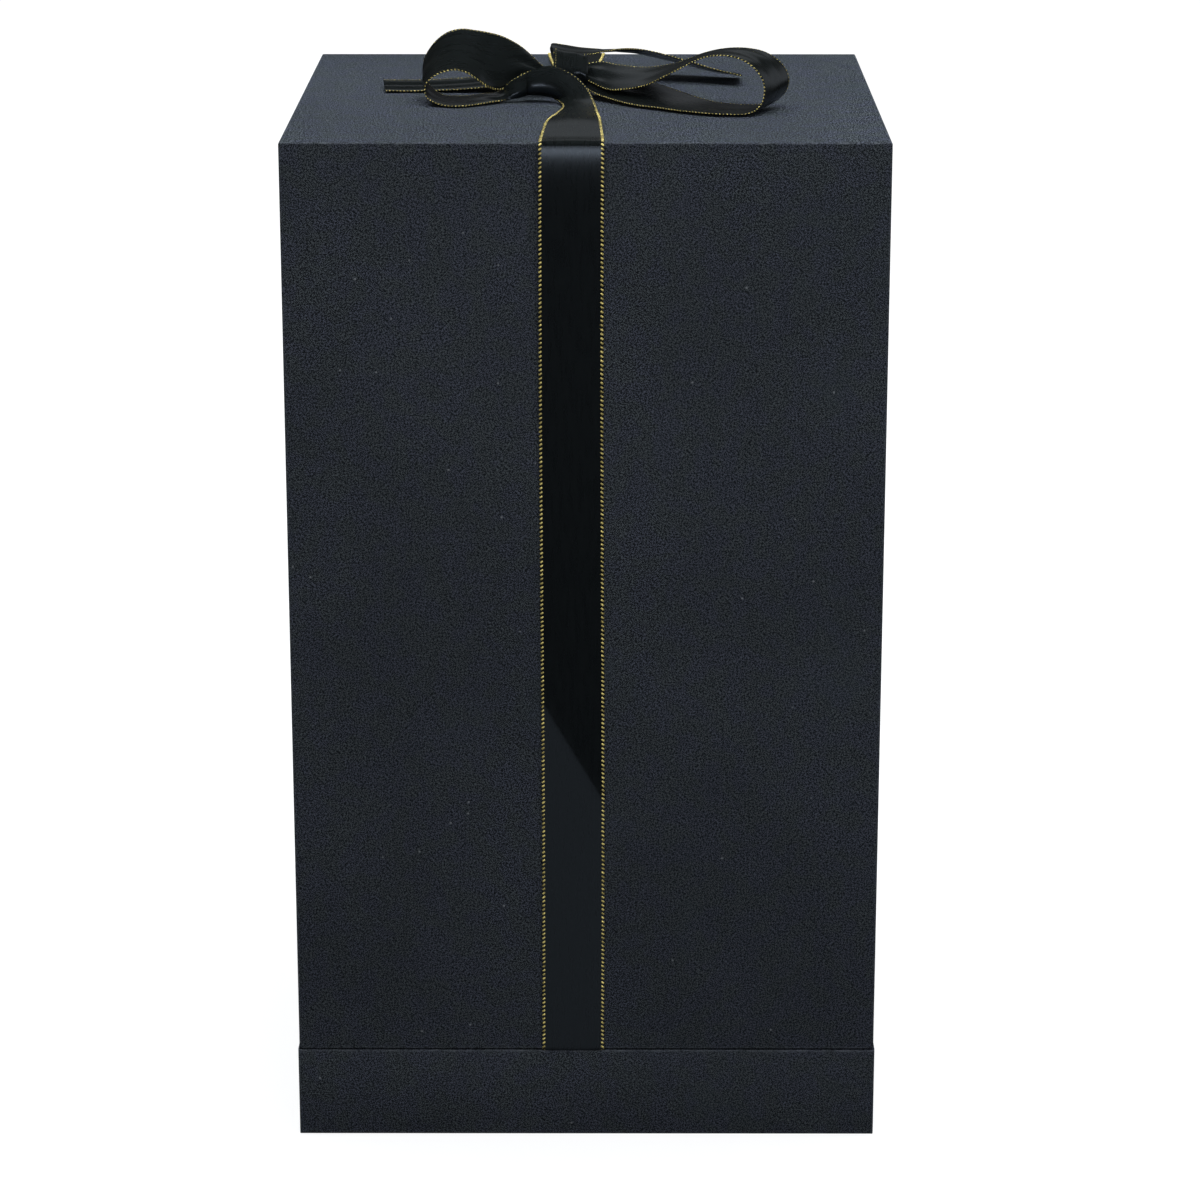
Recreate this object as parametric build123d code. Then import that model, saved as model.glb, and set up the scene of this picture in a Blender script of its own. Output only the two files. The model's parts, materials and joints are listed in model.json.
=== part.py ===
"""Tall rigid gift box: a shallow tray with an inside neck, and a deep cover tied with a bowed ribbon.

Every board, paper and ribbon length is its own solid. Millimetres, +Z up, origin on the floor under the
middle of the box. The front, with the ribbon's straight band, faces -Y.
"""
from build123d import *
import os

os.makedirs("parts", exist_ok=True)

# ---- Overall sizes -------------------------------------------------------------------------------
COVER_HALF = 120.0        # half the cover's outside width and depth
TOP = 420.0               # floor to the cover's top face
TRAY_PROUD = 0.5          # the tray stands out past the cover by this much on each side
TRAY_RIM = 38.0           # floor to the tray's rim
SEAM = 0.7                # open line between the tray's rim and the cover's hem
NECK_TOP = 70.0           # floor to the neck's top edge

# ---- Sheet stock ---------------------------------------------------------------------------------
WRAP = 0.25               # covering paper
SHEET = 0.2               # lining paper and the sheet under the tray
TRAY_BOARD = 3.0
NECK_BOARD = 2.0
COVER_BOARD = 1.5
PAD_BOARD = 1.5
STAY = 0.25               # kraft tape that holds the corners
CORNER_ROUND = 0.6        # radius of a papered corner
TURN_IN = 15.0            # paper folded over an edge and glued down
STAY_LEG = 20.0           # width of the stay tape on each side of a corner
SHEET_INSET = 3.0         # bare border round the sheet under the tray
LINER_LAP = 2.0           # cover liner over the turned-in paper at the hem
LINING_DROP = 4.0         # neck's top edge down to its lining

# ---- Fits ----------------------------------------------------------------------------------------
NECK_GAP = 0.8            # cover liner to neck, all round
PAD_GAP = 0.4             # floor pad to neck lining
PAD_PAPER_INSET = 0.5     # floor pad's edge to its paper
HAIR = 0.05               # satin to gold cord

# ---- Ribbon --------------------------------------------------------------------------------------
RIBBON_WIDTH = 25.4
SATIN = 0.4               # thickness of the satin
CORD_WIDTH = 1.8          # gold cord sewn along each edge
CORD_THICK = 0.8
RIBBON_X = -5.5           # the tied ribbon runs a little left of the middle
RIBBON_HEM = 12.0         # ribbon end glued up inside the cover
SPANS = 20                # places at which a curved length of ribbon is measured out

# ---- Bow -----------------------------------------------------------------------------------------
# Heights here are over the cover's top face. The strand is the part of each band between the box's edge
# and the knot: distance from the middle, height, middle of its width, half of its width.
STRAND = (
    (118.0, 0.4, RIBBON_X, RIBBON_WIDTH / 2),
    (90.0, 0.7, -5.3, 11.5),
    (60.0, 0.7, -5.0, 10.0),
    (35.0, 1.2, -4.7, 8.0),
    (20.0, 4.0, -5.0, 6.6),
    (12.0, 8.0, -6.0, 6.2),
)
KNOT_LOW = (-14.5, -11.5, 5.0)
KNOT_HIGH = (2.5, 11.5, 19.0)
KNOT_ROUND = 3.0

# The two edges of each other length, from the knot outwards: the edge nearer the front, then the other.
LEFT_LOOP = (
    [(-15.5, -3, 9), (-28, -4, 8.5), (-40, -14, 4), (-52, -23, 12), (-62, -26, 14.5), (-71, -26, 10),
     (-72, -29, 5), (-65, -33, 1.4), (-48, -29, 1), (-30, -15, 1), (-15.5, -6, 3.5)],
    [(-15.5, 9, 11), (-28, 11, 18), (-41, 0, 25.5), (-55, -4, 28.8), (-66, -4, 26.5), (-73.5, -3, 17),
     (-73, -5, 7), (-65, -8, 1.8), (-48, -4, 1.3), (-32, 3, 2), (-15.5, 6.5, 4.5)],
)
RIGHT_LOOP = (
    [(3.5, -3, 8), (14, -15, 5), (30, -29, 11), (46, -41, 19.5), (61, -48, 24), (73, -50, 20),
     (77.5, -51, 10.5), (72, -56, 2.4), (57, -56, 1.4), (40, -45, 1.3), (20, -29, 1.3), (5, -16, 2)],
    [(3.5, 9.5, 12.5), (14, 8, 12), (33, -4, 13.5), (50, -17.5, 19.5), (66, -23, 24), (84, -26, 20.5),
     (90.5, -26, 11), (83, -29, 2.4), (65, -31, 1.4), (52, -21.5, 2.5), (33, -9, 5.5), (5, 3, 5.5)],
)
LEFT_TAIL = (
    [(-15.5, 10, 2), (-30, 9, 1.2), (-50, 8, 1), (-72, 4, 1.5), (-92, -1, 5)],
    [(-15.5, 20, 4), (-28, 33, 2), (-48, 33, 1), (-69, 29, 1.5), (-89, 24, 4.5)],
)
RIGHT_TAIL = (
    [(3.5, 3, 16.5), (12, 12, 18), (28, 20, 16), (46, 27, 9), (60, 32, 3.5), (76, 39, 1)],
    [(3.5, 11, 17.5), (6, 34, 19), (20, 44, 17), (37, 51, 10), (52, 57, 4), (68, 62, 1)],
)

# ---- Heights and half widths worked out from the sizes above ----------------------------------------
TRAY_HALF = COVER_HALF + TRAY_PROUD
TRAY_BOARD_OUT = TRAY_HALF - WRAP
TRAY_BOARD_IN = TRAY_BOARD_OUT - TRAY_BOARD
TRAY_FLOOR = SHEET + WRAP
TRAY_INSIDE = TRAY_FLOOR + TRAY_BOARD
NECK_HALF = TRAY_BOARD_IN - WRAP
NECK_BOARD_OUT = NECK_HALF - WRAP
NECK_BOARD_IN = NECK_BOARD_OUT - NECK_BOARD
NECK_TURN_LOW = NECK_TOP - TURN_IN
NECK_LINING_IN = NECK_BOARD_IN - WRAP - SHEET
PAD_HALF = NECK_LINING_IN - PAD_GAP
PAD_TOP = TRAY_INSIDE + PAD_BOARD
COVER_LOW = TRAY_RIM + SEAM
COVER_BOARD_OUT = COVER_HALF - WRAP
COVER_BOARD_IN = COVER_BOARD_OUT - COVER_BOARD
COVER_TURN_IN = COVER_BOARD_IN - WRAP
COVER_TURN_TOP = COVER_LOW + TURN_IN
LINER_IN = NECK_HALF + NECK_GAP
LINER_LOW = COVER_TURN_TOP - LINER_LAP
TOP_BOARD_HIGH = TOP - WRAP
TOP_BOARD_LOW = TOP_BOARD_HIGH - COVER_BOARD
TOP_LINER_LOW = TOP_BOARD_LOW - SHEET


# ---- Box pieces ----------------------------------------------------------------------------------
def slab(low, high):
    """A block between two opposite corners."""
    size = [b - a for a, b in zip(low, high)]
    middle = [(a + b) / 2 for a, b in zip(low, high)]
    return Pos(*middle) * Box(*size)


def square(half, low, high):
    """A square block about the Z axis, from height low to height high."""
    return slab((-half, -half, low), (half, half, high))


def soft_square(half, low, high):
    """A square block whose four upright corners are rounded like folded paper."""
    outline = RectangleRounded(2 * half, 2 * half, CORNER_ROUND)
    return Pos(0, 0, low) * extrude(outline, high - low)


def square_ring(outer, inner, low, high):
    """A square frame about the Z axis."""
    return square(outer, low, high) - square(inner, low, high)


def wall_boards(name, outer, thickness, low, high):
    """Four side boards: front and back run the full width, left and right fit between them."""
    inner = outer - thickness
    return {
        f"{name}_front_board": slab((-outer, -outer, low), (outer, -inner, high)),
        f"{name}_back_board": slab((-outer, inner, low), (outer, outer, high)),
        f"{name}_left_board": slab((-outer, -inner, low), (-inner, inner, high)),
        f"{name}_right_board": slab((inner, -inner, low), (outer, inner, high)),
    }


def corner_stays(face, low, high):
    """Four angles of tape, each folded into an inside corner of walls whose faces are at +-face."""
    reach = face - STAY_LEG
    inner = face - STAY
    angle = slab((reach, reach, low), (face, face, high)) - slab((reach, reach, low), (inner, inner, high))
    return Compound(children=[(Rot(0, 0, turn) * angle).solid() for turn in (0, 90, 180, 270)])


def tray_pieces():
    """The shallow papered tray that the box stands on."""
    wrap = soft_square(TRAY_HALF, SHEET, TRAY_RIM) - square(TRAY_BOARD_OUT, SHEET, TRAY_RIM)
    wrap += square_ring(TRAY_BOARD_OUT, TRAY_HALF - TURN_IN, SHEET, TRAY_FLOOR)
    wrap += square_ring(TRAY_BOARD_OUT, NECK_HALF, TRAY_RIM - WRAP, TRAY_RIM)
    wrap += square_ring(TRAY_BOARD_IN, NECK_HALF, TRAY_RIM - TURN_IN, TRAY_RIM - WRAP)
    underside = square(TRAY_HALF - SHEET_INSET, 0, SHEET)
    underside += square(TRAY_HALF - TURN_IN, SHEET, TRAY_FLOOR)
    pieces = {
        "tray_bottom_board": square(TRAY_BOARD_OUT, TRAY_FLOOR, TRAY_INSIDE),
        "tray_corner_stays": corner_stays(TRAY_BOARD_IN, TRAY_INSIDE, TRAY_RIM - TURN_IN),
        "tray_wrap": wrap,
        "tray_underside_sheet": underside,
    }
    pieces.update(wall_boards("tray", TRAY_BOARD_OUT, TRAY_BOARD, TRAY_INSIDE, TRAY_RIM - WRAP))
    return pieces


def neck_pieces():
    """The wall glued inside the tray, which the cover slides down over, and the floor pad in it."""
    wrap = square_ring(NECK_HALF, NECK_BOARD_OUT, TRAY_INSIDE, NECK_TOP)
    wrap += square_ring(NECK_BOARD_OUT, NECK_BOARD_IN - WRAP, NECK_TOP - WRAP, NECK_TOP)
    wrap += square_ring(NECK_BOARD_IN, NECK_BOARD_IN - WRAP, NECK_TURN_LOW, NECK_TOP - WRAP)
    lining = square_ring(NECK_BOARD_IN, NECK_LINING_IN, TRAY_INSIDE, NECK_TURN_LOW)
    lining += square_ring(NECK_BOARD_IN - WRAP, NECK_LINING_IN, NECK_TURN_LOW, NECK_TOP - LINING_DROP)
    pieces = {
        "neck_wrap": wrap,
        "neck_lining": lining,
        "floor_pad_board": square(PAD_HALF, TRAY_INSIDE, PAD_TOP),
        "floor_pad_paper": square(PAD_HALF - PAD_PAPER_INSET, PAD_TOP, PAD_TOP + SHEET),
    }
    pieces.update(wall_boards("neck", NECK_BOARD_OUT, NECK_BOARD, TRAY_INSIDE, NECK_TOP - WRAP))
    return pieces


def cover_pieces():
    """The deep papered cover, open at the bottom."""
    wrap = soft_square(COVER_HALF, COVER_LOW, TOP) - square(COVER_BOARD_OUT, COVER_LOW, TOP - WRAP)
    wrap += square_ring(COVER_BOARD_OUT, COVER_TURN_IN, COVER_LOW, COVER_LOW + WRAP)
    wrap += square_ring(COVER_BOARD_IN, COVER_TURN_IN, COVER_LOW + WRAP, COVER_TURN_TOP)
    stays = corner_stays(COVER_BOARD_IN, COVER_TURN_TOP, TOP_LINER_LOW)
    liner = square_ring(COVER_TURN_IN, LINER_IN, LINER_LOW, COVER_TURN_TOP)
    liner += square_ring(COVER_BOARD_IN, LINER_IN, COVER_TURN_TOP, TOP_LINER_LOW) - stays
    pieces = {
        "cover_top_board": square(COVER_BOARD_OUT, TOP_BOARD_LOW, TOP_BOARD_HIGH),
        "cover_corner_stays": stays,
        "cover_wrap": wrap,
        "cover_wall_liner": liner,
        "cover_top_liner": square(COVER_BOARD_IN, TOP_LINER_LOW, TOP_BOARD_LOW),
    }
    pieces.update(wall_boards("cover", COVER_BOARD_OUT, COVER_BOARD, COVER_LOW + WRAP, TOP_BOARD_LOW))
    return pieces


# ---- Ribbon pieces -------------------------------------------------------------------------------
def strip(near, far, start, stop, thickness):
    """A flat strip of a ribbon whose edges are the curves near and far.

    start is the distance of its first side from the near edge; stop does the same for its last side, or,
    where it is negative, gives the distance from the far edge.
    """
    lines = ([], [], [], [])
    for step in range(SPANS + 1):
        along = step / SPANS
        width = far @ along - near @ along
        across = width.normalized()
        lift = (near % along + far % along).cross(across).normalized() * (thickness / 2)
        first = near @ along + across * start
        last = near @ along + across * (stop if stop > 0 else width.length + stop)
        for line, point in zip(lines, (first - lift, last - lift, last + lift, first + lift)):
            line.append(point)
    edges = [Edge.make_spline(line) for line in lines]
    faces = [Face.make_surface_from_curves(edges[side - 1], edges[side]) for side in range(4)]
    faces += [Face(Wire.make_polygon([line[tip] for line in lines])) for tip in (0, -1)]
    return Solid(Shell(faces))


def edge_curve(points):
    """A smooth curve through points whose third number is a height over the cover's top."""
    return Spline(*[(x, y, TOP + height) for x, y, height in points])


def ribbon_length(name, near_points, far_points):
    """One curved length of ribbon: its satin, and the gold cord along both edges."""
    near, far = edge_curve(near_points), edge_curve(far_points)
    side = CORD_WIDTH + HAIR
    cords = [strip(near, far, 0, CORD_WIDTH, CORD_THICK), strip(far, near, 0, CORD_WIDTH, CORD_THICK)]
    return {name: strip(near, far, side, -side, SATIN), f"{name}_gold_edges": Compound(children=cords)}


def ribbon_band(name, turn):
    """A straight band: hem inside the cover, up the face, over the edge and in to the knot.

    It is modelled on the front and then turned about Z by turn degrees, 0 or 180.
    """
    facing = 1 if turn == 0 else -1
    middle = facing * RIBBON_X
    left = edge_curve([(facing * x - half, -away, height) for away, height, x, half in STRAND])
    right = edge_curve([(facing * x + half, -away, height) for away, height, x, half in STRAND])
    side = CORD_WIDTH + HAIR
    half = RIBBON_WIDTH / 2
    strand_y = -STRAND[0][0]

    low, high = middle - half + side, middle + half - side
    lift = (CORD_THICK - SATIN) / 2
    face, hem, under = -COVER_HALF - lift, -COVER_TURN_IN, COVER_LOW - SATIN
    satin = slab((low, hem, under), (high, hem + SATIN, COVER_LOW + RIBBON_HEM))
    satin += slab((low, face - SATIN, under), (high, hem, COVER_LOW))
    satin += slab((low, face - SATIN, under), (high, face, TOP + lift + SATIN))
    satin += slab((low, face - SATIN, TOP + lift), (high, strand_y, TOP + lift + SATIN))
    satin += strip(left, right, side, -side, SATIN)

    cords = []
    face = -COVER_HALF - CORD_THICK
    for edge, other, low in ((left, right, middle - half), (right, left, middle + half - CORD_WIDTH)):
        high = low + CORD_WIDTH
        gold = slab((low, face, COVER_LOW), (high, -COVER_HALF, TOP + CORD_THICK))
        gold += slab((low, face, TOP), (high, strand_y, TOP + CORD_THICK))
        gold += strip(edge, other, 0, CORD_WIDTH, CORD_THICK)
        cords.append(gold.solid())
    spin = Rot(0, 0, turn)
    return {name: spin * satin, f"{name}_gold_edges": spin * Compound(children=cords)}


def bow_knot():
    """The wrapped middle of the bow, as one rounded block."""
    (x_low, y_low, low), (x_high, y_high, high) = KNOT_LOW, KNOT_HIGH
    block = slab((x_low, y_low, TOP + low), (x_high, y_high, TOP + high))
    return fillet(block.edges(), KNOT_ROUND)


def ribbon_pieces():
    """The two bands round the cover and the bow tied over its middle."""
    pieces = {"bow_knot": bow_knot()}
    pieces.update(ribbon_band("ribbon_front_band", 0))
    pieces.update(ribbon_band("ribbon_back_band", 180))
    pieces.update(ribbon_length("bow_left_loop", *LEFT_LOOP))
    pieces.update(ribbon_length("bow_right_loop", *RIGHT_LOOP))
    pieces.update(ribbon_length("bow_left_tail", *LEFT_TAIL))
    pieces.update(ribbon_length("bow_right_tail", *RIGHT_TAIL))
    return pieces


for build in (tray_pieces, neck_pieces, cover_pieces, ribbon_pieces):
    for node, shape in build().items():
        export_step(shape, f"parts/{node}.step")
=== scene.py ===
import json
import logging
import math
from dataclasses import dataclass, field
from enum import Enum
from typing import Callable, Iterable, Sequence

import bmesh
import bpy
import numpy as np
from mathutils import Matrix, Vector


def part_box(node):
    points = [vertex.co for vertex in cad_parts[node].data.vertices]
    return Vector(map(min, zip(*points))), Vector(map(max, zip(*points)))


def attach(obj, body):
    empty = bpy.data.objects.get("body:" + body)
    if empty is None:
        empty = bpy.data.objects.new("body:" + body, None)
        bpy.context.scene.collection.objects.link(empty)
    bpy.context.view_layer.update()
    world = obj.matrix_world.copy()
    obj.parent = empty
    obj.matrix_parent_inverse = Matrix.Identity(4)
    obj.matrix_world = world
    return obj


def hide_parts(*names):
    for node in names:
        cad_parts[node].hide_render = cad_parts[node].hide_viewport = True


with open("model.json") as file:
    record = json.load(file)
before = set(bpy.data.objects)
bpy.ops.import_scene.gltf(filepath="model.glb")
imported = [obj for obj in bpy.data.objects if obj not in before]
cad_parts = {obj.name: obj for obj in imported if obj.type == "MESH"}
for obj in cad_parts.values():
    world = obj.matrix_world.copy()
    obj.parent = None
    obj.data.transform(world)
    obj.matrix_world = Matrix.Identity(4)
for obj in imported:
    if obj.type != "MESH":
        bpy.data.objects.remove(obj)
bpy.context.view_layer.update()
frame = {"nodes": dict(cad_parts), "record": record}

# A tall black gift box: papered tray, papered lift-off cover, gold-edged satin ribbon tied in a bow.
# Everything is in metres, in the frame's own coordinates. The front faces -Y.

MM = 0.001
TOUCH = 1e-6
log = logging.getLogger("gift_box")

Point = tuple[float, float, float]
Colour = tuple[float, float, float]
EdgeFrame = tuple[np.ndarray, np.ndarray, np.ndarray, np.ndarray]


class Body(str, Enum):
    """The two rigid bodies of the box."""

    BASE = "base"
    COVER = "cover"


class Slot(str, Enum):
    """The record's material slots."""

    BOOK_PAPER = "black_book_paper"
    GREYBOARD = "greyboard"
    KRAFT = "kraft_tape"
    LINING = "lining_paper"
    SATIN = "satin_ribbon"
    GOLD = "gold_cord"


class Hold(str, Enum):
    """How a length of ribbon is held."""

    STRETCHED = "stretched"
    FOLDED = "folded"
    LAID = "laid"
    GATHERED = "gathered"


# ---- Nodes ---------------------------------------------------------------------------------------
class Graph:
    """Places and joins shader nodes in one tree."""

    def __init__(self, tree: bpy.types.NodeTree) -> None:
        """Start on a node tree.

        Args:
            tree: the material's, world's or group's node tree.
        """
        self.tree = tree

    def add(self, kind: str, sockets: dict | None = None, **settings: object) -> bpy.types.Node:
        """Place a node.

        Args:
            kind: the node's type name without its ShaderNode prefix.
            sockets: values or output sockets for its inputs, by name or number.
            settings: the node's own properties.

        Returns:
            The new node.
        """
        node = self.tree.nodes.new("ShaderNode" + kind)
        for name, value in settings.items():
            setattr(node, name, value)
        self.feed(node, sockets or {})
        return node

    def feed(self, node: bpy.types.Node, sockets: dict) -> None:
        """Give a node its inputs.

        Args:
            node: the node.
            sockets: values or output sockets for its inputs, by name or number.
        """
        for key, value in sockets.items():
            self.give(node.inputs[key], value)

    def give(self, socket: bpy.types.NodeSocket, value: object) -> None:
        """Link an output to an input, or set the input's value.

        Args:
            socket: the input.
            value: the output socket or the value; a colour of three numbers is made opaque.
        """
        if isinstance(value, bpy.types.NodeSocket):
            self.tree.links.new(value, socket)
        elif socket.type == "RGBA":
            socket.default_value = (*value, 1.0)
        else:
            socket.default_value = value

    def math(self, operation: str, *values: object) -> bpy.types.NodeSocket:
        """Place a Math node.

        Args:
            operation: the Math node's operation.
            values: its inputs in order, numbers or output sockets.

        Returns:
            The node's output socket.
        """
        return self.add("Math", dict(enumerate(values)), operation=operation).outputs[0]

    def remap(
        self, value: object, low: float, high: float, to_low: float = 0.0, to_high: float = 1.0
    ) -> bpy.types.NodeSocket:
        """Place a smooth Map Range node.

        Args:
            value: the socket to remap.
            low: the value that becomes to_low.
            high: the value that becomes to_high.
            to_low: the lower result.
            to_high: the upper result.

        Returns:
            The result's socket.
        """
        sockets = {"Value": value, "From Min": low, "From Max": high, "To Min": to_low, "To Max": to_high}
        return self.add("MapRange", sockets, interpolation_type="SMOOTHSTEP").outputs["Result"]

    def noise(
        self, vector: object, scale: object, detail: float = 2.0, roughness: float = 0.5
    ) -> bpy.types.NodeSocket:
        """Place a noise texture.

        Args:
            vector: the coordinates' socket.
            scale: lumps per metre, a number or socket.
            detail: octaves.
            roughness: weight of the finer octaves.

        Returns:
            The value's socket.
        """
        sockets = {"Vector": vector, "Scale": scale, "Detail": detail, "Roughness": roughness}
        return self.add("TexNoise", sockets).outputs[0]

    def blend(self, factor: object, first: object, second: object) -> bpy.types.NodeSocket:
        """Mix two colours.

        Args:
            factor: the socket or number, 0 for first and 1 for second.
            first: a colour or socket.
            second: a colour or socket.

        Returns:
            The colour's socket.
        """
        return self.add("Mix", {0: factor, 6: first, 7: second}, data_type="RGBA").outputs[2]


class Effect:
    """A shader node group that several finishes use."""

    made: dict[str, bpy.types.NodeTree] = {}

    @classmethod
    def group(
        cls, name: str, inputs: dict[str, float | None], outputs: Iterable[str]
    ) -> tuple[Graph, dict, bpy.types.Node]:
        """Begin a group with named sockets.

        Args:
            name: the group's name.
            inputs: number inputs with their first values; None makes a vector input.
            outputs: the number outputs' names.

        Returns:
            The group's graph, its input sockets by name, and the node that takes its results.
        """
        tree = bpy.data.node_groups.new(name, "ShaderNodeTree")
        for label, value in inputs.items():
            kind = "NodeSocketVector" if value is None else "NodeSocketFloat"
            socket = tree.interface.new_socket(label, in_out="INPUT", socket_type=kind)
            if value is not None:
                socket.default_value = value
        for label in outputs:
            tree.interface.new_socket(label, in_out="OUTPUT", socket_type="NodeSocketFloat")
        inside = tree.nodes.new("NodeGroupInput")
        outside = tree.nodes.new("NodeGroupOutput")
        cls.made[name] = tree
        return Graph(tree), {socket.name: socket for socket in inside.outputs}, outside

    @classmethod
    def use(cls, graph: Graph, name: str, sockets: dict) -> bpy.types.Node:
        """Place a finished group in a material.

        Args:
            graph: the material's graph.
            name: the group's name.
            sockets: values or sockets for its inputs.

        Returns:
            The group node.
        """
        node = graph.tree.nodes.new("ShaderNodeGroup")
        node.node_tree = cls.made[name]
        graph.feed(node, sockets)
        return node


def build_effects() -> None:
    """Make the shader node groups: twill emboss, paper fibre, rubbed edges, dust and thread lines."""
    build_twill()
    build_fibre()
    build_rub()
    build_dust()
    build_threads()


def build_twill() -> None:
    """A fine felted emboss: short strokes that slant both ways on every face, in drifting patches."""
    sizes = {"Vector": None, "Side": 0.0, "Period": 0.0009}
    g, given, out = Effect.group("twill_emboss", sizes, ["Height", "Tone"])
    parts = g.add("SeparateXYZ", {"Vector": given["Vector"]})
    way = g.math("SUBTRACT", g.math("MULTIPLY", given["Side"], 2.0), 1.0)
    slant_y = g.math("MULTIPLY", parts.outputs["Y"], way)
    rising = g.math("ADD", g.math("ADD", parts.outputs["X"], parts.outputs["Y"]), parts.outputs["Z"])
    falling = g.math("SUBTRACT", g.math("ADD", parts.outputs["X"], slant_y), parts.outputs["Z"])
    lengthwise = g.math("DIVIDE", rising, given["Period"])
    crosswise = g.math("DIVIDE", falling, given["Period"])
    strokes = []
    for along, across in ((lengthwise, crosswise), (crosswise, lengthwise)):
        drawn = g.add("CombineXYZ", {"X": g.math("MULTIPLY", along, 0.40), "Y": across})
        strokes.append(g.remap(g.noise(drawn.outputs[0], 1.0, 1.0, 0.5), 0.36, 0.64))
    patch = g.remap(g.noise(given["Vector"], 190.0, 2.0, 0.5), 0.44, 0.56)
    woven = g.add("Mix", {0: patch, 2: strokes[0], 3: strokes[1]}, data_type="FLOAT").outputs[0]
    felt = g.remap(g.noise(given["Vector"], 2200.0, 2.0, 0.6), 0.34, 0.66)
    mixed = g.math("ADD", g.math("MULTIPLY", woven, 0.62), g.math("MULTIPLY", felt, 0.38))
    g.feed(out, {"Height": mixed, "Tone": g.remap(mixed, 0.33, 0.77)})


def build_fibre() -> None:
    """Paper fibre: fine felted lumps and a slow cloudiness."""
    g, given, out = Effect.group("paper_fibre", {"Vector": None, "Size": 0.0008}, ["Height", "Cloud"])
    lumps = g.noise(given["Vector"], g.math("DIVIDE", 1.0, given["Size"]), 4.0, 0.65)
    cloud = g.remap(g.noise(given["Vector"], 9.0, 3.0, 0.6), 0.35, 0.65)
    g.feed(out, {"Height": lumps, "Cloud": cloud})


def build_rub() -> None:
    """Rubbed edges of a square box: a mask that is 1 on its upright and level edges."""
    sizes = {"Vector": None, "Half": 0.12, "Low": 0.0, "High": 0.42, "Reach": 0.002}
    g, given, out = Effect.group("rubbed_edge", sizes, ["Mask"])
    parts = g.add("SeparateXYZ", {"Vector": given["Vector"]})
    from_x = g.math("SUBTRACT", given["Half"], g.math("ABSOLUTE", parts.outputs["X"]))
    from_y = g.math("SUBTRACT", given["Half"], g.math("ABSOLUTE", parts.outputs["Y"]))
    from_side = g.math("MINIMUM", from_x, from_y)
    from_top = g.math("SUBTRACT", given["High"], parts.outputs["Z"])
    from_foot = g.math("SUBTRACT", parts.outputs["Z"], given["Low"])
    upright = g.math("MAXIMUM", from_x, from_y)
    level = g.math("MAXIMUM", from_side, g.math("MINIMUM", from_top, from_foot))
    away = g.math("DIVIDE", g.math("MINIMUM", upright, level), given["Reach"])
    broken = g.remap(g.noise(given["Vector"], 330.0, 3.0, 0.7), 0.38, 0.66)
    near = g.remap(away, 1.0, 0.15)
    g.feed(out, {"Mask": g.math("MULTIPLY", near, broken)})


def build_dust() -> None:
    """Sparse light specks: dust and the odd pale fibre end."""
    g, given, out = Effect.group("dust_specks", {"Vector": None, "Size": 0.004, "Share": 0.1}, ["Mask"])
    finer = g.math("DIVIDE", 1.0, given["Size"])
    cells = g.add("TexVoronoi", {"Vector": given["Vector"], "Scale": finer, "Randomness": 1.0})
    chosen = g.add("SeparateColor", {"Color": cells.outputs["Color"]})
    keep = g.math("LESS_THAN", chosen.outputs[0], given["Share"])
    dot = g.remap(cells.outputs["Distance"], 0.09, 0.04)
    g.feed(out, {"Mask": g.math("MULTIPLY", dot, keep)})


def build_threads() -> None:
    """Fine threads that run along a ribbon, read from its own UV map in metres."""
    sizes = {"Vector": None, "Pitch": 0.00025, "Length": 0.02}
    g, given, out = Effect.group("thread_lines", sizes, ["Height", "Tone"])
    parts = g.add("SeparateXYZ", {"Vector": given["Vector"]})
    along = g.math("DIVIDE", parts.outputs["X"], given["Length"])
    across = g.math("DIVIDE", parts.outputs["Y"], given["Pitch"])
    drawn = g.add("CombineXYZ", {"X": along, "Y": across})
    streak = g.noise(drawn.outputs[0], 1.0, 2.0, 0.6)
    broad = g.add("CombineXYZ", {"X": along, "Y": g.math("MULTIPLY", across, 0.12)})
    g.feed(out, {"Height": streak, "Tone": g.noise(broad.outputs[0], 1.0, 3.0, 0.55)})


# ---- Finishes ------------------------------------------------------------------------------------
@dataclass(frozen=True)
class Finish:
    """What every finish has: a name, and a Principled shader to dress."""

    name: str

    def begin(self) -> tuple[bpy.types.Material, Graph, bpy.types.Node]:
        """Make an empty material.

        Returns:
            The material, its graph and its Principled BSDF.
        """
        material = bpy.data.materials.new(self.name)
        material.use_nodes = True
        graph = Graph(material.node_tree)
        return material, graph, material.node_tree.nodes["Principled BSDF"]

    @staticmethod
    def bump(
        graph: Graph,
        shader: bpy.types.Node,
        height: bpy.types.NodeSocket,
        depth: float,
        strength: float = 1.0,
    ) -> None:
        """Join a height to a shader's normal.

        Args:
            graph: the material's graph.
            shader: the Principled BSDF.
            height: the height's socket, 0 to 1.
            depth: how deep a height of 1 is, in metres.
            strength: how much of the bump shows.
        """
        node = graph.add("Bump", {"Height": height, "Distance": depth, "Strength": strength})
        graph.feed(shader, {"Normal": node.outputs[0]})


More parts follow.
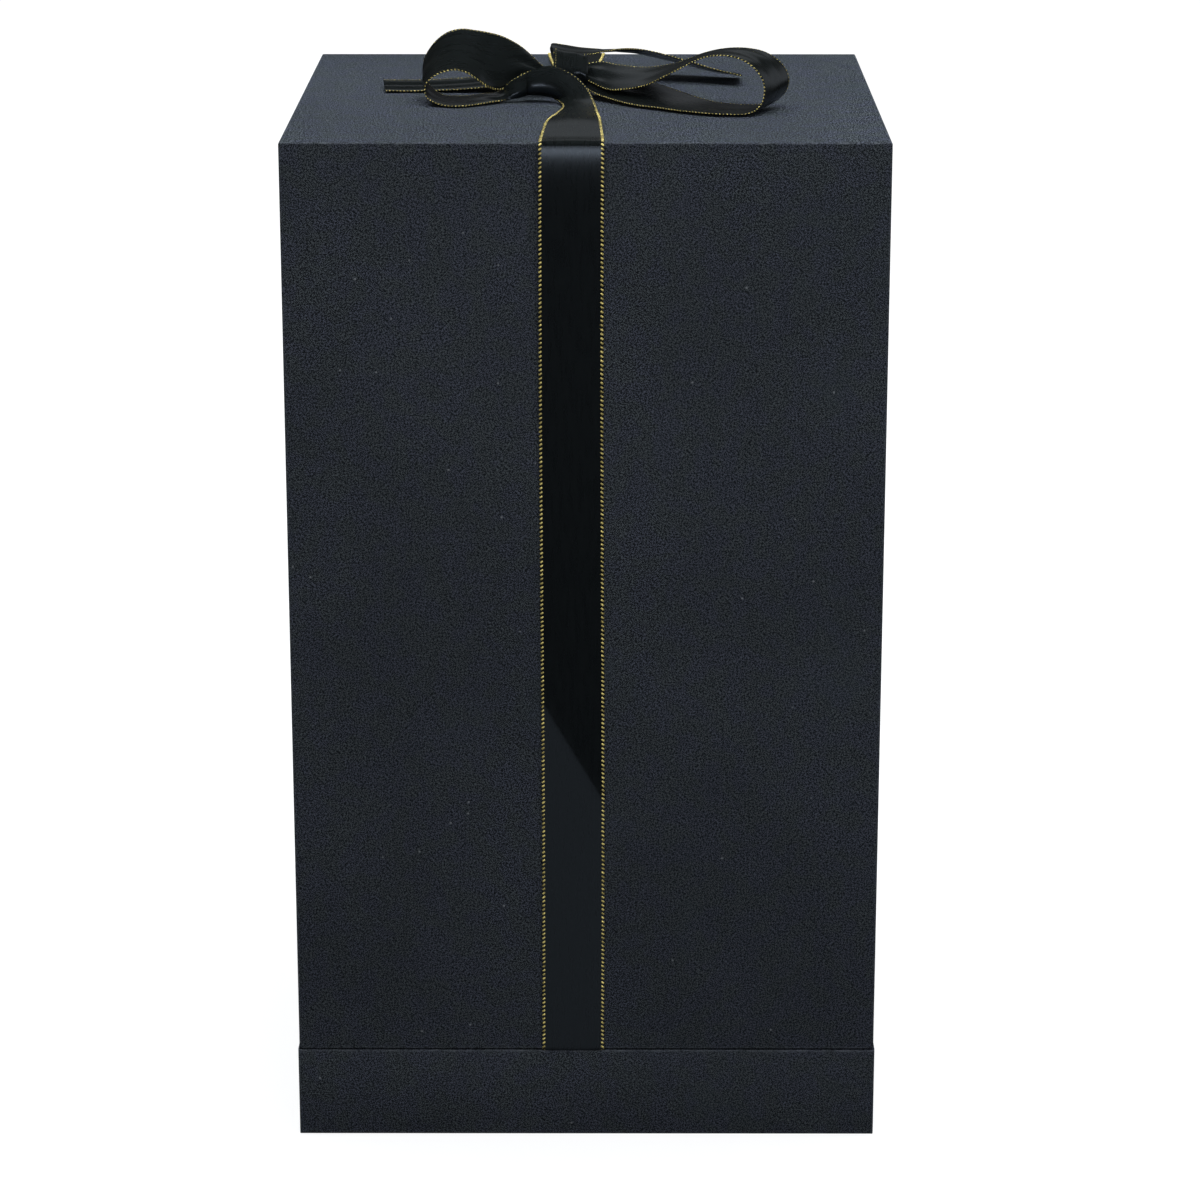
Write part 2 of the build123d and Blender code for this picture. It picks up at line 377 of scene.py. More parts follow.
@dataclass(frozen=True)
class BookPaper(Finish):
    """Blue-black covering paper with a slanting emboss, rubbed along the folds."""

    half: float = 0.12
    low: float = 0.0
    high: float = 0.42
    deep: Colour = (0.0064, 0.0080, 0.0100)
    raised: Colour = (0.0615, 0.0710, 0.0780)
    raised_blue: Colour = (0.0620, 0.0690, 0.0900)
    cloud: Colour = (0.030, 0.040, 0.047)
    rubbed: Colour = (0.085, 0.092, 0.105)
    speck: Colour = (0.17, 0.18, 0.19)
    gloss: float = 0.10
    emboss_period: float = 0.5 * MM
    top_squeeze: float = 0.62
    fibre_size: float = 0.6 * MM
    fold_reach: float = 1.1 * MM
    speck_size: float = 7.0 * MM
    speck_share: float = 0.2
    emboss_depth: float = 0.17 * MM

    def make(self) -> bpy.types.Material:
        """Build the material.

        Returns:
            The finished material.
        """
        material, g, shader = self.begin()
        coordinates = g.add("TexCoord")
        place = coordinates.outputs["Object"]
        facing = g.add("SeparateXYZ", {"Vector": coordinates.outputs["Normal"]})
        side = g.math("GREATER_THAN", g.math("ABSOLUTE", facing.outputs["X"]), 0.7)
        up = g.math("GREATER_THAN", facing.outputs["Z"], 0.7)
        squeeze = g.math("SUBTRACT", 1.0, g.math("MULTIPLY", up, self.top_squeeze))
        stretch = g.add("CombineXYZ", {"X": 1.0, "Y": squeeze, "Z": 1.0})
        drawn = g.add("VectorMath", {0: place, 1: stretch.outputs[0]}, operation="MULTIPLY").outputs[0]
        twill = Effect.use(g, "twill_emboss", {"Vector": drawn, "Side": side, "Period": self.emboss_period})
        fibre = Effect.use(g, "paper_fibre", {"Vector": place, "Size": self.fibre_size})
        folds = {"Half": self.half, "Low": self.low, "High": self.high, "Reach": self.fold_reach}
        rub = Effect.use(g, "rubbed_edge", {"Vector": place, **folds})
        specks = {"Vector": place, "Size": self.speck_size, "Share": self.speck_share}
        dust = Effect.use(g, "dust_specks", specks)
        drift = g.remap(g.noise(place, 110.0, 2.0, 0.5), 0.40, 0.60)
        raised = g.blend(drift, self.raised, self.raised_blue)
        colour = g.blend(twill.outputs["Tone"], self.deep, raised)
        scuffed = g.remap(g.noise(place, 21.0, 4.0, 0.62), 0.56, 0.74)
        colour = g.blend(g.math("MULTIPLY", scuffed, 0.22), colour, self.cloud)
        colour = g.blend(g.math("MULTIPLY", fibre.outputs["Cloud"], 0.16), colour, self.deep)
        colour = g.blend(g.math("MULTIPLY", rub.outputs["Mask"], 0.5), colour, self.rubbed)
        colour = g.blend(g.math("MULTIPLY", dust.outputs["Mask"], 0.75), colour, self.speck)
        rough = g.remap(fibre.outputs["Height"], 0.3, 0.7, 0.56, 0.70)
        g.feed(shader, {"Base Color": colour, "Roughness": rough, "Specular IOR Level": self.gloss})
        height = g.math("ADD", twill.outputs["Height"], g.math("MULTIPLY", fibre.outputs["Height"], 0.4))
        self.bump(g, shader, height, self.emboss_depth, 0.9)
        return material


@dataclass(frozen=True)
class PlainPaper(Finish):
    """Smooth uncoated paper: lining paper and kraft tape."""

    base: Colour = (0.02, 0.021, 0.024)
    fleck: Colour = (0.045, 0.046, 0.05)
    rough: float = 0.62
    grain: float = 0.7 * MM
    depth: float = 0.04 * MM
    speck: Colour = (0.3, 0.29, 0.27)
    gloss: float = 0.3
    rough_drift: float = 0.07

    def make(self) -> bpy.types.Material:
        """Build the material.

        Returns:
            The finished material.
        """
        material, g, shader = self.begin()
        place = g.add("TexCoord").outputs["Object"]
        fibre = Effect.use(g, "paper_fibre", {"Vector": place, "Size": self.grain})
        dust = Effect.use(g, "dust_specks", {"Vector": place, "Size": 0.005, "Share": 0.1})
        cloud = g.remap(fibre.outputs["Cloud"], 0.0, 1.0, 0.7, 1.1)
        tone = g.math("MULTIPLY", fibre.outputs["Height"], cloud)
        colour = g.blend(g.remap(tone, 0.2, 0.7), self.base, self.fleck)
        colour = g.blend(g.math("MULTIPLY", dust.outputs["Mask"], 0.4), colour, self.speck)
        smoothest, roughest = self.rough - self.rough_drift, self.rough + self.rough_drift
        rough = g.remap(fibre.outputs["Height"], 0.3, 0.7, smoothest, roughest)
        g.feed(shader, {"Base Color": colour, "Roughness": rough, "Specular IOR Level": self.gloss})
        self.bump(g, shader, fibre.outputs["Height"], self.depth)
        return material


@dataclass(frozen=True)
class Greyboard(Finish):
    """Recycled board: grey felt with darker and lighter fibres."""

    pale: Colour = (0.36, 0.34, 0.31)
    dark: Colour = (0.19, 0.18, 0.165)
    stain: Colour = (0.28, 0.25, 0.20)
    speck: Colour = (0.08, 0.08, 0.09)
    grain: float = 1.6 * MM
    depth: float = 0.15 * MM

    def make(self) -> bpy.types.Material:
        """Build the material.

        Returns:
            The finished material.
        """
        material, g, shader = self.begin()
        place = g.add("TexCoord").outputs["Object"]
        fibre = Effect.use(g, "paper_fibre", {"Vector": place, "Size": self.grain})
        dust = Effect.use(g, "dust_specks", {"Vector": place, "Size": 0.003, "Share": 0.35})
        tone = g.remap(fibre.outputs["Height"], 0.3, 0.72)
        colour = g.blend(tone, self.dark, self.pale)
        colour = g.blend(g.math("MULTIPLY", fibre.outputs["Cloud"], 0.25), colour, self.stain)
        colour = g.blend(g.math("MULTIPLY", dust.outputs["Mask"], 0.6), colour, self.speck)
        rough = g.remap(fibre.outputs["Height"], 0.2, 0.8, 0.8, 0.95)
        g.feed(shader, {"Base Color": colour, "Roughness": rough})
        self.bump(g, shader, fibre.outputs["Height"], self.depth)
        return material


@dataclass(frozen=True)
class Satin(Finish):
    """Black satin: smooth floats that catch light in soft bands, with a painted sheen that colours it
    lighter below a crease.
    """

    deep: Colour = (0.0030, 0.0037, 0.0034)
    lit: Colour = (0.0041, 0.0050, 0.0046)
    painted_crease_sheen: Colour = (0.0155, 0.0184, 0.0205)
    gloss: float = 0.5
    sheen: Colour = (0.72, 0.83, 1.0)
    warp: float = 0.24 * MM
    weft: float = 0.42 * MM
    float_length: float = 12.0 * MM
    smoothest: float = 0.27
    roughest: float = 0.285
    depth: float = 0.02 * MM
    relief: float = 0.1

    def make(self) -> bpy.types.Material:
        """Build the material.

        Returns:
            The finished material.
        """
        material, g, shader = self.begin()
        place = g.add("UVMap", uv_map="ribbon").outputs[0]
        # painted sheen: the share of the satin below a crease that is coloured lighter
        crease_sheen_share = g.add("Attribute", attribute_name="painted_crease_sheen").outputs["Fac"]
        lines = {"Vector": place, "Pitch": self.warp, "Length": self.float_length}
        threads = Effect.use(g, "thread_lines", lines)
        ribs = g.add("SeparateXYZ", {"Vector": place})
        weft = g.math("SINE", g.math("MULTIPLY", ribs.outputs["X"], 2 * math.pi / self.weft))
        colour = g.blend(g.remap(threads.outputs["Tone"], 0.3, 0.7), self.deep, self.lit)
        # painted sheen: lighter satin below the crease
        colour = g.blend(crease_sheen_share, colour, self.painted_crease_sheen)
        rough = g.remap(threads.outputs["Tone"], 0.3, 0.7, self.smoothest, self.roughest)
        g.feed(shader, {"Base Color": colour, "Roughness": rough})
        g.feed(shader, {"Specular IOR Level": self.gloss, "Specular Tint": self.sheen})
        long_threads = g.math("MULTIPLY", threads.outputs["Height"], 0.6)
        height = g.math("ADD", long_threads, g.math("MULTIPLY", weft, 0.10))
        self.bump(g, shader, height, self.depth, self.relief)
        return material


@dataclass(frozen=True)
class GoldThread(Finish):
    """Half-metallic gold thread, its colour painted: painted highlights on the crests and painted shade in
    the waists between them.
    """

    bright: Colour = (1.0, 0.82, 0.27)
    deep: Colour = (0.045, 0.028, 0.007)
    metal: float = 0.35
    strands: float = 5200.0
    depth: float = 0.06 * MM

    def make(self) -> bpy.types.Material:
        """Build the material.

        Returns:
            The finished material.
        """
        material, g, shader = self.begin()
        crest = g.add("Attribute", attribute_name="crest").outputs["Fac"]
        place = g.add("TexCoord").outputs["Object"]
        strand = g.noise(place, self.strands, 2.0, 0.6)
        patch = g.remap(g.noise(place, 420.0, 2.0, 0.6), 0.36, 0.64, 0.38, 1.0)
        # painted highlights and painted shade: dark in the waists, bright on the crests
        tone = g.math("MULTIPLY", g.remap(crest, 0.25, 0.9), patch)
        colour = g.blend(tone, self.deep, self.bright)
        rough = g.remap(strand, 0.3, 0.7, 0.26, 0.46)
        g.feed(shader, {"Base Color": colour, "Metallic": self.metal, "Roughness": rough})
        self.bump(g, shader, strand, self.depth)
        return material


@dataclass(frozen=True)
class StudioFloor(Finish):
    """Pale floor: near white to the eye with a soft contact shadow, and quiet in reflections."""

    shown: Colour = (0.24, 0.24, 0.24)
    glow: Colour = (0.80, 0.80, 0.80)
    far_glow: Colour = (1.0, 1.0, 1.0)
    bounced: Colour = (0.17, 0.175, 0.19)
    mirrored: Colour = (0.02, 0.021, 0.023)
    near: float = 0.35
    far: float = 1.9

    def make(self) -> bpy.types.Material:
        """Build the material.

        Returns:
            The finished material.
        """
        material, g, shader = self.begin()
        path = g.add("LightPath").outputs
        seen = path["Is Camera Ray"]
        unseen = g.blend(path["Is Glossy Ray"], self.bounced, self.mirrored)
        place = g.add("TexCoord").outputs["Object"]
        from_box = g.add("VectorMath", {0: place}, operation="LENGTH").outputs["Value"]
        glow = g.blend(g.remap(from_box, self.near, self.far), self.glow, self.far_glow)
        lit = g.blend(seen, (0.0, 0.0, 0.0), glow)
        g.feed(shader, {"Base Color": g.blend(seen, unseen, self.shown), "Roughness": 0.9})
        g.feed(shader, {"Emission Color": lit, "Emission Strength": 1.0, "Specular IOR Level": 0.0})
        return material


# ---- Modelling bench -----------------------------------------------------------------------------
def deselect_all() -> None:
    """Leave nothing selected."""
    for piece in bpy.context.selected_objects:
        piece.select_set(False)


def take(piece: bpy.types.Object) -> None:
    """Make a piece the only one selected, and the active one.

    Args:
        piece: the object to work on.
    """
    deselect_all()
    piece.select_set(True)
    bpy.context.view_layer.objects.active = piece


class Bench:
    """Edit mode on one piece, with its faces, edges and corners picked by place."""

    def __init__(self, piece: bpy.types.Object) -> None:
        """Put a piece on the bench.

        Args:
            piece: the mesh object to edit.
        """
        self.piece = piece

    def __enter__(self) -> "Bench":
        """Open edit mode with nothing picked."""
        take(self.piece)
        bpy.ops.object.mode_set(mode="EDIT")
        bpy.ops.mesh.select_all(action="DESELECT")
        return self

    def __exit__(self, *_: object) -> None:
        """Close edit mode."""
        bpy.ops.object.mode_set(mode="OBJECT")

    def pick(self, kind: str, test: Callable[[Vector, Vector], bool]) -> None:
        """Pick elements of one kind, and nothing else.

        Args:
            kind: FACE, EDGE or VERT.
            test: given a face's centre and normal, an edge's two ends, or a corner twice.
        """
        bpy.ops.mesh.select_mode(type=kind)
        bpy.ops.mesh.select_all(action="DESELECT")
        mesh = bmesh.from_edit_mesh(self.piece.data)
        if kind == "FACE":
            chosen = [f for f in mesh.faces if test(f.calc_center_median(), f.normal)]
        elif kind == "EDGE":
            chosen = [e for e in mesh.edges if test(e.verts[0].co, e.verts[1].co)]
        else:
            chosen = [v for v in mesh.verts if test(v.co, v.co)]
        for element in chosen:
            element.select_set(True)
        mesh.select_flush_mode()
        bmesh.update_edit_mesh(self.piece.data)


def finish_with(piece: bpy.types.Object, kind: str, **settings: object) -> None:
    """Add a modifier and apply it.

    Args:
        piece: the object.
        kind: the modifier's type.
        settings: its properties.
    """
    take(piece)
    modifier = piece.modifiers.new(kind.lower(), kind)
    for name, value in settings.items():
        setattr(modifier, name, value)
    bpy.ops.object.modifier_apply(modifier=modifier.name)


def block(name: str, low: Sequence[float], high: Sequence[float]) -> bpy.types.Object:
    """Add a cube primitive between two opposite corners.

    Args:
        name: the new object's name.
        low: its lowest corner.
        high: its highest corner.

    Returns:
        The object, at the origin and unscaled.
    """
    deselect_all()
    middle = [(a + b) / 2 for a, b in zip(low, high)]
    bpy.ops.mesh.primitive_cube_add(size=1.0, location=middle)
    piece = bpy.context.active_object
    piece.name = piece.data.name = name
    piece.scale = [b - a for a, b in zip(low, high)]
    bpy.ops.object.transform_apply(location=True, rotation=True, scale=True)
    return piece


def smooth_shade(piece: bpy.types.Object, degrees: float = 35.0) -> None:
    """Shade a piece smooth, keeping edges sharper than an angle.

    Args:
        piece: the object.
        degrees: the angle.
    """
    take(piece)
    bpy.ops.object.shade_smooth_by_angle(angle=math.radians(degrees))


def dress(piece: bpy.types.Object, material: bpy.types.Material, body: Body) -> None:
    """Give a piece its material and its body.

    Args:
        piece: the object.
        material: what it is made of.
        body: what it rides on.
    """
    piece.data.materials.clear()
    piece.data.materials.append(material)
    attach(piece, body.value)
    log.info("%s: %d faces, on %s", piece.name, len(piece.data.polygons), body.value)


def placed(name: str, data: bpy.types.ID) -> bpy.types.Object:
    """Put a new object in the scene.

    Args:
        name: its name.
        data: its mesh, light or camera.

    Returns:
        The object.
    """
    piece = bpy.data.objects.new(name, data)
    bpy.context.scene.collection.objects.link(piece)
    return piece


# ---- Papered shells ------------------------------------------------------------------------------
@dataclass
class Jacket:
    """Paper folded round a square shell: its faces, side flaps, hem and turn-in."""

    name: str
    node: str
    body: Body
    finish: BookPaper
    turn_in: float = 15.0 * MM
    paper: float = 0.25 * MM
    fold: float = 0.7 * MM
    flap_inset: float = 1.6 * MM
    flap_proud: float = 0.14 * MM
    flap_step: float = 0.08 * MM
    hem_round: float = 0.35 * MM
    open_up: bool = False
    wall: float = 2.0 * MM

    def build(self) -> bpy.types.Object:
        """Model the jacket and dress it.

        Returns:
            The finished object.
        """
        low, high = (Vector(corner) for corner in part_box(self.node))
        piece = block(self.name, low, high)
        self.fold_edges(piece, low, high)
        self.lay_flaps(piece, high.x)
        self.turn_hem(piece, low, high)
        finish_with(piece, "SOLIDIFY", thickness=self.paper, offset=-1.0, use_even_offset=True)
        smooth_shade(piece)
        dress(piece, self.finish.make(), self.body)
        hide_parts(self.node)
        return piece

    def fold_edges(self, piece: bpy.types.Object, low: Vector, high: Vector) -> None:
        """Round the folded edges and open the side that has no paper.

        Args:
            piece: the block.
            low: its lowest corner.
            high: its highest corner.
        """
        closed_z = low.z if self.open_up else high.z
        with Bench(piece) as bench:
            if self.open_up:
                bench.pick("FACE", lambda _, n: abs(n.z) > 0.9)
            else:
                bench.pick("FACE", lambda _, n: n.z < -0.9)
            bpy.ops.mesh.delete(type="ONLY_FACE")

            def folded(a: Vector, b: Vector) -> bool:
                """Whether the paper is folded over an edge.

                Args:
                    a: one end of the edge.
                    b: its other end.

                Returns:
                    True for upright edges and those of the closed side.
                """
                upright = abs(a.z - b.z) > self.fold
                return upright or (not self.open_up and abs(a.z - closed_z) < self.fold / 2)

            bench.pick("EDGE", folded)
            bpy.ops.mesh.bevel(offset=self.fold, segments=4, affect="EDGES", profile=0.5)

    def lay_flaps(self, piece: bpy.types.Object, half: float) -> None:
        """Raise the side flaps, which overlap the corner folds by a paper's thickness.

        Args:
            piece: the shell.
            half: half of its width.
        """
        with Bench(piece) as bench:
            bench.pick("FACE", lambda c, n: abs(n.x) > 0.99 and abs(c.x) > half - self.fold / 2)
            for inset, rise in ((self.flap_inset, 0.0), (self.flap_step, self.flap_proud)):
                bpy.ops.mesh.inset(thickness=inset, depth=rise, use_boundary=False, use_individual=False)

    def turn_hem(self, piece: bpy.types.Object, low: Vector, high: Vector) -> None:
        """Fold the paper over each open edge and back along the board inside.

        Args:
            piece: the shell.
            low: its lowest corner.
            high: its highest corner.
        """
        level, inward = (high.z, -1.0) if self.open_up else (low.z, 1.0)
        hems = [(level, inward, self.wall, self.turn_in)]
        if self.open_up:
            hems.append((low.z, 0.0, self.turn_in, 0.0))
        for level, inward, across, back in hems:
            with Bench(piece) as bench:
                bench.pick("EDGE", lambda a, b: abs(a.z - level) < TOUCH and abs(b.z - level) < TOUCH)
                self.extrude_inward(high.x, across)
                if back:
                    move = {"value": (0.0, 0.0, inward * back)}
                    bpy.ops.mesh.extrude_edges_move(TRANSFORM_OT_translate=move)
        outer = high.x - 0.05 * MM
        with Bench(piece) as bench:
            def hem_edge(a: Vector, b: Vector) -> bool:
                """Whether an edge is one that the hem turns over.

                Args:
                    a: one end of the edge.
                    b: its other end.

                Returns:
                    True for the outermost level edges of a turned side.
                """
                turned = abs(a.z - low.z) < TOUCH or (self.open_up and abs(a.z - high.z) < TOUCH)
                outermost = all(max(abs(end.x), abs(end.y)) > outer for end in (a, b))
                return turned and abs(a.z - b.z) < TOUCH and outermost

            bench.pick("EDGE", hem_edge)
            bpy.ops.mesh.bevel(offset=self.hem_round, segments=3, affect="EDGES", profile=0.5)
            bpy.ops.mesh.select_all(action="SELECT")
            bpy.ops.mesh.normals_make_consistent(inside=False)

    @staticmethod
    def extrude_inward(half: float, across: float) -> None:
        """Extrude the picked rim towards the middle of the box.

        Args:
            half: half of the rim's width.
            across: how far it goes in.
        """
        bpy.ops.mesh.extrude_edges_move()
        share = (half - across) / half
        bpy.ops.transform.resize(value=(share, share, 1.0), center_override=(0.0, 0.0, 0.0))


# ---- Ribbon --------------------------------------------------------------------------------------
def flow(points: Sequence[Point], count: int) -> np.ndarray:
    """A smooth line through a few points.

    Args:
        points: the points it passes through.
        count: how many places to measure on it.

    Returns:
        An array of count places.
    """
    knots = np.array(points, dtype=float)
    padded = np.vstack([2 * knots[0] - knots[1], knots, 2 * knots[-1] - knots[-2]])
    spot = np.linspace(0, len(knots) - 1, count)
    first = np.minimum(spot.astype(int), len(knots) - 2)
    t = (spot - first)[:, None]
    a, b, c, d = (padded[first + step] for step in range(4))
    return 0.5 * (2 * b + (c - a) * t + (2 * a - 5 * b + 4 * c - d) * t**2 + (3 * b - 3 * c + d - a) * t**3)


def unit(vectors: np.ndarray) -> np.ndarray:
    """Scale vectors to length 1.

    Args:
        vectors: one row for each.

    Returns:
        The scaled rows.
    """
    return vectors / np.maximum(np.linalg.norm(vectors, axis=1, keepdims=True), 1e-9)


def travelled(line: np.ndarray) -> np.ndarray:
    """How far along a line each of its places is.

    Args:
        line: its places, one in each row.

    Returns:
        The distance from its start to each place.
    """
    return np.concatenate([[0.0], np.cumsum(np.linalg.norm(np.diff(line, axis=0), axis=1))])


def resample(values: np.ndarray, length: np.ndarray, spots: np.ndarray) -> np.ndarray:
    """Read values along a line at other places on it.

    Args:
        values: one row for each of the line's places.
        length: how far along the line those places are.
        spots: how far along it to read.

    Returns:
        One row for each spot.
    """
    return np.stack([np.interp(spots, length, values[:, axis]) for axis in range(values.shape[1])], axis=1)


def grid_mesh(name: str, grid: np.ndarray, closed: bool = False) -> bpy.types.Object:
    """A sheet mesh over a grid of places, with a UV map in metres along and across it.

    Args:
        name: the new object's name.
        grid: places, along first and across second.
        closed: the last row joins the first.

    Returns:
        The object.
    """
    rows, columns = grid.shape[:2]
    along = travelled(grid.mean(axis=1))
    steps = np.linalg.norm(np.diff(grid, axis=1), axis=2)
    across = np.concatenate([np.zeros((rows, 1)), np.cumsum(steps, axis=1)], axis=1)
    mesh = bpy.data.meshes.new(name)
    faces = []
    for row in range(rows if closed else rows - 1):
        after = (row + 1) % rows
        for column in range(columns - 1):
            corner = row * columns + column
            faces.append((corner, corner + 1, after * columns + column + 1, after * columns + column))
    mesh.from_pydata(grid.reshape(-1, 3).tolist(), [], faces)
    layer = mesh.uv_layers.new(name="ribbon")
    for polygon in mesh.polygons:
        for loop in polygon.loop_indices:
            row, column = divmod(mesh.loops[loop].vertex_index, columns)
            layer.data[loop].uv = (along[row], across[row, column])
    return placed(name, mesh)


def edge_frames(grid: np.ndarray, inset: float, fullness: np.ndarray) -> list[EdgeFrame]:
    """The two long edges of a sheet, as a cord sewn on them needs them.

    Args:
        grid: the sheet's places, along first and across second.
        inset: how far in from the edge the cord's middle lies.
        fullness: for each row, the cord's share of its full size and of its painted crest highlight.

    Returns:
        For each edge its line, the directions across the sheet and up from it, and the fullness.
    """
    frames = []
    for rim, inner in ((grid[:, 0], grid[:, 1]), (grid[:, -1], grid[:, -2])):
        across = unit(inner - rim)
        up = unit(np.cross(across, unit(np.gradient(rim, axis=0))))
        frames.append((rim + across * inset, across, up, fullness[:, None]))
    return frames


@dataclass
class GoldEdge:
    """Gold cord that bulges and narrows on a slant along a ribbon's edge.

    waist is its narrowest width as a share of the widest, and slant is how far its bulges lean, in
    radians.
    """

    width: float = 1.0 * MM
    thick: float = 0.46 * MM
    pitch: float = 1.5 * MM
    steps_per_pitch: int = 8
    around: int = 8
    waist: float = 0.66
    slant: float = 0.9
    end_size: float = 0.45
    end_growth: float = 0.25

    def ring(self, phase: float) -> tuple[np.ndarray, np.ndarray]:
        """The cord's outline at one place.

        Args:
            phase: how far along its bulges the place is, in radians, with one bulge every pi.

        Returns:
            Offsets across and up, and how near each is to a crest.
        """
        turn = np.linspace(0, 2 * math.pi, self.around, endpoint=False)
        beat = np.cos(self.slant * np.cos(turn) - 2 * phase)
        lobe = self.waist + (1 - self.waist) * beat
        sideways, upwards = np.cos(turn) * lobe * self.width / 2, np.sin(turn) * lobe * self.thick / 2
        return np.stack([sideways, upwards], axis=1), (beat + 1) / 2

    def mesh(self, name: str, frames: Sequence[EdgeFrame]) -> bpy.types.Object:
        """Lay cords along the edges of a sheet.

        Args:
            name: the new object's name.
            frames: for each cord, its places, the directions across and up from it, and its fullness.

        Returns:
            The object, one closed shell for each cord.
        """
        vertices: list = []
        faces: list = []
        painted_crest_light: list = []
        for line, *given in frames:
            base = len(vertices)
            length = travelled(line)
            count = max(2, int(length[-1] / self.pitch * self.steps_per_pitch))
            spots = np.linspace(0, length[-1], count)
            at, side, rise, full = (resample(values, length, spots) for values in (line, *given))
            side, rise = unit(side), unit(rise)
            for index, spot in enumerate(spots):
                offsets, crest = self.ring(math.pi * spot / self.pitch)
                from_end = min(index, count - 1 - index)
                taper = full[index] * min(1.0, self.end_size + from_end * self.end_growth)
                ring = at[index] + taper * (offsets[:, :1] * side[index] + offsets[:, 1:] * rise[index])
                vertices += ring.tolist()
                # painted highlight: nearness to a crest, times the fullness, sets how bright the gold is
                # painted
                painted_crest_light += (crest * full[index]).tolist()
            for row in range(count - 1):
                first, second = base + row * self.around, base + (row + 1) * self.around
                for step in range(self.around):
                    after = (step + 1) % self.around
                    faces.append((first + step, first + after, second + after, second + step))
            last = base + (count - 1) * self.around
            faces.append(tuple(base + step for step in reversed(range(self.around))))
            faces.append(tuple(last + step for step in range(self.around)))
        mesh = bpy.data.meshes.new(name)
        mesh.from_pydata(vertices, [], faces)
        mesh.attributes.new("crest", "FLOAT", "POINT").data.foreach_set("value", painted_crest_light)
        piece = placed(name, mesh)
        with Bench(piece):
            bpy.ops.mesh.select_all(action="SELECT")
            bpy.ops.mesh.normals_make_consistent(inside=False)
        bpy.ops.object.shade_smooth()
        return piece


@dataclass
class RibbonLength:
    """One length of the ribbon: black satin between two edge lines, with gold cord along both.

    near and far are the edges' places in millimetres, with heights over the cover's top. belly is how
    far the middle of the width stands off the straight line between them, at the same places.
    """

    name: str
    nodes: tuple[str, str]
    near: Sequence[Point]
    far: Sequence[Point]
    held: Hold
    rests_on: tuple[str, ...] = ()
    belly: Sequence[Point] = ()
    full_width: float = 25.4 * MM
    thick: float = 0.35 * MM
    crown: float = 0.3 * MM
    folds: int = 2
    fold_depth: float = 0.9 * MM
    per_metre: float = 900.0
    columns: int = 25
    gold: GoldEdge = field(default_factory=GoldEdge)
    cord_overhang: float = 0.2 * MM
    plain_end: bool = False
    end_share: float = 2 / 7

    def edge_lines(self) -> tuple[np.ndarray, np.ndarray]:
        """Draw the two edges smoothly.

        Returns:
            The places of each edge, in metres.
        """
        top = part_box("cover_wrap")[1][2]
        near = np.array(self.near, dtype=float) * MM + (0, 0, top)
        far = np.array(self.far, dtype=float) * MM + (0, 0, top)
        count = max(12, int(travelled(near)[-1] * self.per_metre))
        return flow(near, count), flow(far, count)

    def standing_off(self, rows: int) -> np.ndarray:
        """How far the middle of the width stands off its straight line.

        Args:
            rows: how many rows the sheet has.

        Returns:
            An offset in metres for each row.
        """
        return flow(self.belly, rows) * MM if self.belly else np.zeros((rows, 3))

    def grid(self) -> np.ndarray:
        """Lay the satin between its edges, softly folded where they are close together.

        Returns:
            The places, along first and across second.
        """
        near, far = self.edge_lines()
        forward = unit(np.gradient((near + far) / 2, axis=0))
        width = np.linalg.norm(far - near, axis=1)
        up = unit(np.cross(forward, unit(far - near)))
        spare = np.maximum(self.full_width - width, 0.0)
        depth = np.minimum(spare / (4 * self.folds), self.fold_depth)
        ending = np.ones(len(near))
        if self.plain_end:
            ending = np.clip(np.linspace(1 / self.end_share, 0, len(near)), 0, 1)
        depth = depth * ending
        share = np.linspace(0, 1, self.columns)
        arch = 4 * share * (1 - share)
        wave = np.sin(share * math.pi * 2 * self.folds) * arch
        lift = depth[:, None] * wave[None, :] + ending[:, None] * arch[None, :] * self.crown
        flat = near[:, None, :] + (far - near)[:, None, :] * share[None, :, None]
        off = self.standing_off(len(near))[:, None, :] * arch[None, :, None]
        return flat + off + lift[:, :, None] * up[:, None, :]

    def fullness(self, rows: int) -> np.ndarray:
        """The gold cord's share of its full size.

        Args:
            rows: how many rows the sheet has.

        Returns:
            The share for each row.
        """
        return np.ones(rows)

    def paint_crease_sheen(self, cloth: bpy.types.Object) -> None:
        """Mark where the satin gets a painted sheen. A plain length has none.

        Args:
            cloth: the satin; not used here.
        """

    def build(self, satin: bpy.types.Material, gold: bpy.types.Material) -> None:
        """Make the satin and its gold edges.

        Args:
            satin: the satin's material.
            gold: the gold thread's material.
        """
        grid = self.grid()
        cloth = grid_mesh(self.name, grid)
        finish_with(cloth, "SOLIDIFY", thickness=self.thick, offset=0.0)
        self.paint_crease_sheen(cloth)
        take(cloth)
        bpy.ops.object.shade_smooth()
        dress(cloth, satin, Body.COVER)
        frames = edge_frames(grid, self.gold.width / 2 - self.cord_overhang, self.fullness(len(grid)))
        cords = self.gold.mesh(self.name + "_gold", frames)
        dress(cords, gold, Body.COVER)
        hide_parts(self.nodes[0])
        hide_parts(self.nodes[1])


